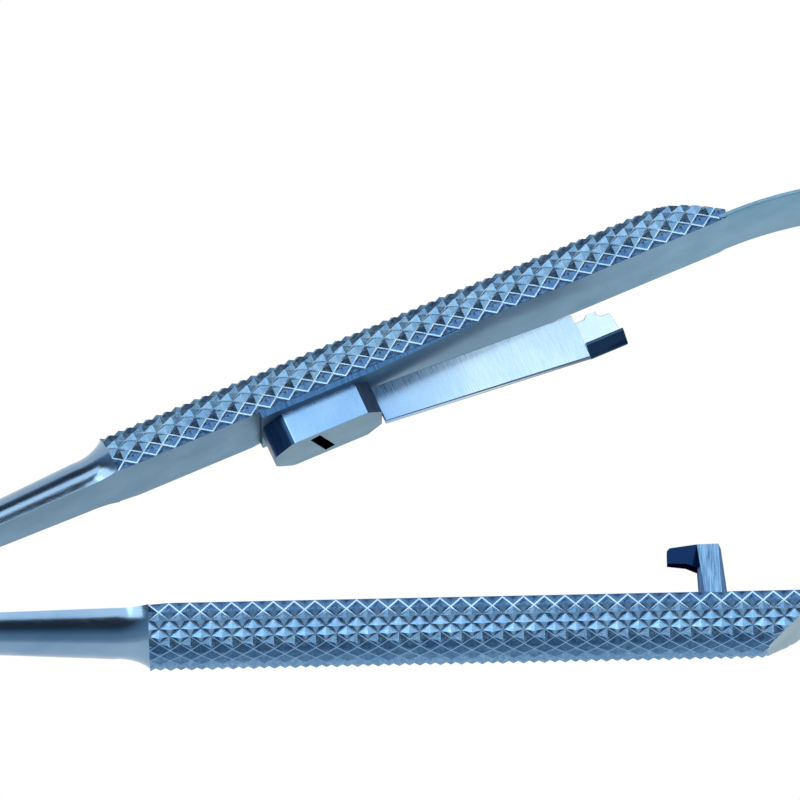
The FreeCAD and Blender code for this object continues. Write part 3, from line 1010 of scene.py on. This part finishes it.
@dataclass
class CatchBlock:
    """The block on the pad of one grip, with the slot in its face.

    Sizes are in millimetres in the arm's own axes.
    """

    edge: float = 0.08
    face: float = -3.05
    slot_from: float = 42.0
    slot_to: float = 47.6
    slot_half: float = 2.3
    slot_bottom: float = -1.2
    slot_shift: float = 0.42
    slot_grow: float = 1.14
    smooth_angle: float = 25.0

    def by_slot(self, p: Vector) -> bool:
        """Tells whether a point, in the arm's axes, lies in the slot or over or under it."""
        return self.slot_from < p.x < self.slot_to and abs(p.z) < self.slot_half

    def region(self, centre: Vector, normal: Vector) -> BlockSlot:
        """Tells which finish a face of the block has.

        Args:
            centre: The face's centre.
            normal: The face's normal.

        Returns:
            The finish's slot.
        """
        axes = ArmFrame(Side.CATCH)
        p, n = axes.read(centre), axes.aim(normal)
        if self.by_slot(p) and p.y > self.face:
            return BlockSlot.RECESS
        if n.y < -FACING:
            return BlockSlot.BLASTED
        if n.x > LEANING:
            return BlockSlot.REAR
        return BlockSlot.FRONT if n.x < -LEANING else BlockSlot.BRUSHED

    def place_slot(self, piece: Piece) -> None:
        """Moves the slot's corners to where the slot shows, a little nearer the front and larger.

        Args:
            piece: The block.
        """
        axes = ArmFrame(Side.CATCH)
        spots = [(vert, axes.read(vert.co)) for vert in piece.data.vertices]
        spots = [(vert, p) for vert, p in spots if self.by_slot(p) and p.y < self.slot_bottom]
        middle_u = (min(p.x for _, p in spots) + max(p.x for _, p in spots)) / 2
        middle_z = (min(p.z for _, p in spots) + max(p.z for _, p in spots)) / 2
        for vert, p in spots:
            u = middle_u + (p.x - middle_u) * self.slot_grow - self.slot_shift
            vert.co = axes.place(u, p.y, middle_z + (p.z - middle_z) * self.slot_grow)

    def finishes(self) -> dict[IntEnum, Titanium]:
        """Lists the block's finishes.

        Returns:
            The finish of each slot.
        """
        side = Side.CATCH
        return {
            BlockSlot.BRUSHED: BrushedTitanium(
                "cross-brushed anodised titanium block", side, "#80AEDA", "#9CC8EE"
            ),
            BlockSlot.BLASTED: BlastedTitanium("blasted anodised titanium block", side),
            # The recess by the slot is painted near black as painted shadow.
            BlockSlot.RECESS: BrushedTitanium(
                "oxidised titanium recess", side, "#05080F", "#0A0F1A", gloss=(0.6, 0.8)
            ),
            # The block's end towards the pivot is painted dark navy as painted shade.
            BlockSlot.FRONT: BrushedTitanium(
                "ground anodised titanium front", side, "#243F62", "#38587E", gloss=(0.3, 0.45)
            ),
            BlockSlot.REAR: BrushedTitanium(
                "ground anodised titanium rear", side, "#4A5A70", "#6E7E92", gloss=(0.45, 0.6)
            ),
        }

    def build(self) -> Piece:
        """Copies the block, rounds its edges and dresses it.

        Returns:
            The piece.
        """
        piece = merged_copy("catch_block")
        soften(piece, self.edge)
        self.place_slot(piece)
        paint(piece, self.finishes(), self.region)
        smooth(piece, self.smooth_angle)
        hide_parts("catch_block")
        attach(piece, "lock_arm")
        return piece


@dataclass
class CatchLever:
    """The sprung lever: its brushed blade, its stepped plate and the ledge that takes the hook.

    Sizes are in millimetres in the arm's own axes.
    """

    edge: float = 0.06
    blade_end: float = 66.05
    blade_fade: tuple[float, float] = (49.0, 57.0)
    shade_from: float = 56.0
    ledge_top: float = -4.05
    smooth_angle: float = 25.0

    def region(self, centre: Vector, normal: Vector) -> LeverSlot:
        """Tells which finish a face of the lever has.

        Args:
            centre: The face's centre.
            normal: The face's normal.

        Returns:
            The finish's slot.
        """
        axes = ArmFrame(Side.CATCH)
        p, n = axes.read(centre), axes.aim(normal)
        if p.x < self.blade_end:
            in_shade = n.y < -SLANTED and p.x > self.shade_from
            return LeverSlot.LEDGE if in_shade else LeverSlot.BLADE
        return LeverSlot.LEDGE if p.y < self.ledge_top else LeverSlot.PLATE

    def finishes(self) -> dict[IntEnum, Titanium]:
        """Lists the lever's finishes.

        Returns:
            The finish of each slot.
        """
        side = Side.CATCH
        return {
            # The blade goes over to a pale tint towards its far end as a painted highlight.
            LeverSlot.BLADE: BrushedTitanium(
                "cross-brushed anodised titanium lever",
                side,
                dark="#7EACD8",
                light="#92BEE6",
                pale="#CCE8F6",
                run=self.blade_fade,
            ),
            LeverSlot.PLATE: BrushedTitanium(
                "bare ground titanium plate", side, "#C0DEEA", "#DCF0F8"
            ),
            # The ledge and the blade's faces in shade are painted navy as painted shade.
            LeverSlot.LEDGE: PolishedTitanium(
                "navy anodised titanium ledge", side, "#283B56", "#34506E"
            ),
        }

    def build(self) -> Piece:
        """Copies the lever, rounds its edges and dresses it.

        Returns:
            The piece.
        """
        piece = merged_copy("catch_lever")
        soften(piece, self.edge)
        paint(piece, self.finishes(), self.region)
        smooth(piece, self.smooth_angle)
        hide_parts("catch_lever")
        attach(piece, "catch_lever")
        return piece


@dataclass
class HookPost:
    """The post on the other grip, whose nose closes over the ledge.

    Sizes are in millimetres in the arm's own axes.
    """

    chamfer_width: float = 0.46
    nose_end: float = 70.65
    nose_slack: float = 0.1
    flat_angle: float = 2.0
    smooth_angle: float = 25.0

    def region(self, centre: Vector, normal: Vector) -> HookSlot:
        """Tells which finish a face of the hook has.

        Args:
            centre: The face's centre.
            normal: The face's normal.

        Returns:
            The finish's slot.
        """
        axes = ArmFrame(Side.HOOK)
        p, n = axes.read(centre), axes.aim(normal)
        if p.x > self.nose_end and abs(n.x) > LEANING and n.z > LEANING:
            return HookSlot.CHAMFER
        return HookSlot.NOSE if p.x < self.nose_end or abs(n.x) > LEANING else HookSlot.POST

    def chamfer(self, piece: Piece) -> None:
        """Joins the hook's flat faces and cuts a flat chamfer along the post's two upper edges.

        Args:
            piece: The hook.
        """
        axes = ArmFrame(Side.HOOK)
        edit(piece, "EDGE")
        bpy.ops.mesh.select_all(action="SELECT")
        bpy.ops.mesh.dissolve_limited(angle_limit=math.radians(self.flat_angle))
        bpy.ops.mesh.select_all(action="DESELECT")
        mesh = bmesh.from_edit_mesh(piece.data)
        post_from = self.nose_end - self.nose_slack
        for edge in mesh.edges:
            on_post = all(axes.read(v.co).x >= post_from for v in edge.verts)
            if len(edge.link_faces) != 2 or not on_post:
                continue
            flank, top = sorted(edge.link_faces, key=lambda f: f.normal.z)
            if abs(axes.aim(flank.normal).x) > UPRIGHT and top.normal.z > UPRIGHT:
                edge.select_set(True)
        bmesh.update_edit_mesh(piece.data)
        width = self.chamfer_width * MM
        bpy.ops.mesh.bevel(offset=width, segments=1, affect="EDGES", clamp_overlap=False)
        leave(piece)
        clear_slivers(piece)

    def finishes(self) -> dict[IntEnum, Titanium]:
        """Lists the hook's finishes.

        Returns:
            The finish of each slot.
        """
        side = Side.HOOK
        return {
            HookSlot.POST: BrushedTitanium(
                "streaked anodised titanium hook", side, "#0A2C5C", "#94C6EC", gloss=(0.14, 0.3)
            ),
            # The nose is painted dark navy as painted shade; its dark grazing tint dims what it mirrors.
            HookSlot.NOSE: BrushedTitanium(
                "navy anodised titanium nose",
                side,
                dark="#0F2344",
                light="#142F58",
                gloss=(0.35, 0.5),
                grazing="#203048",
            ),
            HookSlot.CHAMFER: BrushedTitanium(
                "chamfered anodised titanium hook", side, "#1C3E70", "#6C9CCC", gloss=(0.2, 0.35)
            ),
        }

    def build(self) -> Piece:
        """Copies the hook, chamfers its post and dresses it.

        Returns:
            The piece.
        """
        piece = merged_copy("hook_post")
        self.chamfer(piece)
        paint(piece, self.finishes(), self.region)
        smooth(piece, self.smooth_angle)
        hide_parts("hook_post")
        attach(piece, "hook_arm")
        return piece


@dataclass
class Fasteners:
    """The lap's screw and the butt's rivet. The rounding is in millimetres."""

    edge: float = 0.06
    smooth_angle: float = 35.0

    def build(self) -> None:
        """Dresses both."""
        for node in ("pivot_screw", "butt_rivet"):
            piece = merged_copy(node)
            soften(piece, self.edge)
            smooth(piece, self.smooth_angle)
            finish = PolishedTitanium(f"turned blue anodised titanium {node}")
            piece.data.materials.append(finish.material())
            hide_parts(node)
            if node == "butt_rivet":
                # Half a metre to each side: the rivet takes half of the turn and keeps its shape.
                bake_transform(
                    piece, "hook_arm", "lock_arm", start=(0.06, -0.5, 0.004), end=(0.06, 0.5, 0.004)
                )
            else:
                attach(piece, "hook_arm")
            LOG.info("dressed %s", piece.name)


@dataclass(frozen=True)
class SoftLamp:
    """A soft rectangular lamp that faces the object: place and size in metres, power in watts."""

    name: str
    place: tuple[float, float, float]
    wide: float
    deep: float
    power: float

    def hang(self) -> None:
        """Hangs the lamp."""
        data = bpy.data.lights.new(self.name, "AREA")
        data.shape = "RECTANGLE"
        data.size, data.size_y = self.wide, self.deep
        data.energy = self.power
        lamp = bpy.data.objects.new(self.name, data)
        bpy.context.scene.collection.objects.link(lamp)
        lamp.location = self.place
        lamp.rotation_euler = Vector(self.place).to_track_quat("Z", "Y").to_euler()


LAMPS = (
    SoftLamp("rear soft lamp", (0.0, 0.56, 0.45), 1.0, 0.23, 1.3),
    SoftLamp("top soft lamp", (0.0, 0.13, 0.7), 0.9, 0.46, 2.0),
    SoftLamp("left soft lamp", (-0.5, 0.24, 0.6), 0.55, 0.45, 1.8),
    SoftLamp("right soft lamp", (0.6, 0.16, 0.55), 0.6, 0.4, 1.4),
)
# The room's shade from its dim lower front to its dark upper rear.
ROOM_STOPS = [
    (0.1, "#C2CCD4"),
    (0.2, "#A4B4C2"),
    (0.45, "#95AAB7"),
    (0.7, "#6A7E96"),
    (0.85, "#465058"),
    (1.0, "#3A4048"),
]


@dataclass
class Studio:
    """A white table in a white room with four soft lamps, as a catalogue photograph has it.

    The room's shade follows a height that leans to the rear and falls off to the sides.
    """

    floor_size: float = 6.0
    floor_glow: float = 0.94
    floor_colour: str = "#F4F4F4"
    rear_lean: float = 0.35
    side_fall: float = -0.25
    shade_from: float = -0.4
    shade_to: float = 0.6

    def floor(self) -> None:
        """Lays the white table top, which metal mirrors nearly as white as the eye sees it."""
        table = sheet("table", self.floor_size)
        material = bpy.data.materials.new("white laminate")
        material.use_nodes = True
        tree = material.node_tree
        tree.nodes.clear()
        rays = add(tree, "ShaderNodeLightPath").outputs
        times, greater = {"operation": "MULTIPLY"}, {"operation": "MAXIMUM"}
        glossy = add(tree, "ShaderNodeMath", times, _0=rays["Is Glossy Ray"], _1=self.floor_glow)
        seen = rays["Is Camera Ray"]
        share = add(tree, "ShaderNodeMath", greater, _0=seen, _1=glossy.outputs[0]).outputs[0]
        matt = add(tree, "ShaderNodeBsdfDiffuse", Color=linear(self.floor_colour)).outputs[0]
        glow = add(tree, "ShaderNodeEmission", Color=linear(WHITE), Strength=1.0).outputs[0]
        both = add(tree, "ShaderNodeMixShader", _0=share, _1=matt, _2=glow)
        add(tree, "ShaderNodeOutputMaterial", Surface=both.outputs[0])
        table.data.materials.append(material)

    def room(self) -> None:
        """Sets the world: white to the eye, and a dim room that the metal mirrors."""
        world = bpy.data.worlds.new("white room")
        bpy.context.scene.world = world
        world.use_nodes = True
        tree = world.node_tree
        tree.nodes.clear()
        seen = add(tree, "ShaderNodeLightPath").outputs["Is Camera Ray"]
        place = add(tree, "ShaderNodeTexCoord").outputs["Generated"]
        way = add(tree, "ShaderNodeSeparateXYZ", Vector=place).outputs
        size, sum_up = {"operation": "ABSOLUTE"}, {"operation": "MULTIPLY_ADD"}
        aside = add(tree, "ShaderNodeMath", size, _0=way["X"]).outputs[0]
        tip = add(tree, "ShaderNodeMath", sum_up, _0=way["Y"], _1=self.rear_lean, _2=way["Z"])
        up = tip.outputs[0]
        height = add(tree, "ShaderNodeMath", sum_up, _0=aside, _1=self.side_fall, _2=up)
        span = {"From_Min": self.shade_from, "From_Max": self.shade_to}
        level = add(tree, "ShaderNodeMapRange", Value=height.outputs[0], **span).outputs[0]
        shade = add(tree, "ShaderNodeValToRGB", {"stops": ROOM_STOPS}, Fac=level).outputs["Color"]
        both = add(tree, "ShaderNodeMix", MIXED, _0=seen, _6=shade, _7=linear(WHITE)).outputs[2]
        sky = add(tree, "ShaderNodeBackground", Color=both, Strength=1.0)
        add(tree, "ShaderNodeOutputWorld", Surface=sky.outputs[0])

    def build(self) -> None:
        """Sets floor, room and lamps."""
        self.floor()
        self.room()
        for lamp in LAMPS:
            lamp.hang()


@dataclass
class CatalogueCamera:
    """The photograph's camera: nearly overhead, tipped to the hook side, the butt at upper right.

    Sizes are in millimetres, apart from the clipping distances in metres.
    """

    aim: tuple[float, float, float] = (-6.53, 6.96, 6.24)
    toward: tuple[float, float, float] = (-0.07340, -0.31990, 0.94460)
    right: tuple[float, float, float] = (0.97590, -0.21820, 0.00193)
    distance: float = 785.6
    frame_width: float = 61.94
    sensor: float = 36.0
    clip_near: float = 0.01
    clip_far: float = 20.0

    def build(self) -> None:
        """Places the camera."""
        back = Vector(self.toward).normalized()
        side = Vector(self.right)
        side = (side - back * side.dot(back)).normalized()
        up = back.cross(side)
        turn = Matrix((side, up, back)).transposed().to_4x4()
        data = bpy.data.cameras.new("catalogue camera")
        data.sensor_width = self.sensor
        data.lens = self.sensor * self.distance / self.frame_width
        data.clip_start, data.clip_end = self.clip_near, self.clip_far
        camera = bpy.data.objects.new("catalogue camera", data)
        bpy.context.scene.collection.objects.link(camera)
        place = Vector(self.aim) * MM + back * self.distance * MM
        camera.matrix_world = Matrix.Translation(place) @ turn
        bpy.context.scene.camera = camera


def main() -> None:
    """Sets the camera, builds the pieces in order, then the studio."""
    logging.basicConfig(level=logging.INFO, format="%(message)s", stream=sys.stdout)
    bpy.context.scene.view_settings.view_transform = "Standard"
    CatalogueCamera().build()
    for side, node in ((Side.CATCH, "lock_arm"), (Side.HOOK, "hook_arm")):
        LOG.info("dressed %s", GripArm(side, node).build().name)
    for side, node in ((Side.CATCH, "lock_side_leaf"), (Side.HOOK, "hook_side_leaf")):
        LOG.info("dressed %s", SpringLeaf(side, node).build().name)
    for part in (CatchBlock(), CatchLever(), HookPost()):
        LOG.info("dressed %s", part.build().name)
    Fasteners().build()
    Studio().build()


if __name__ == "__main__":
    main()
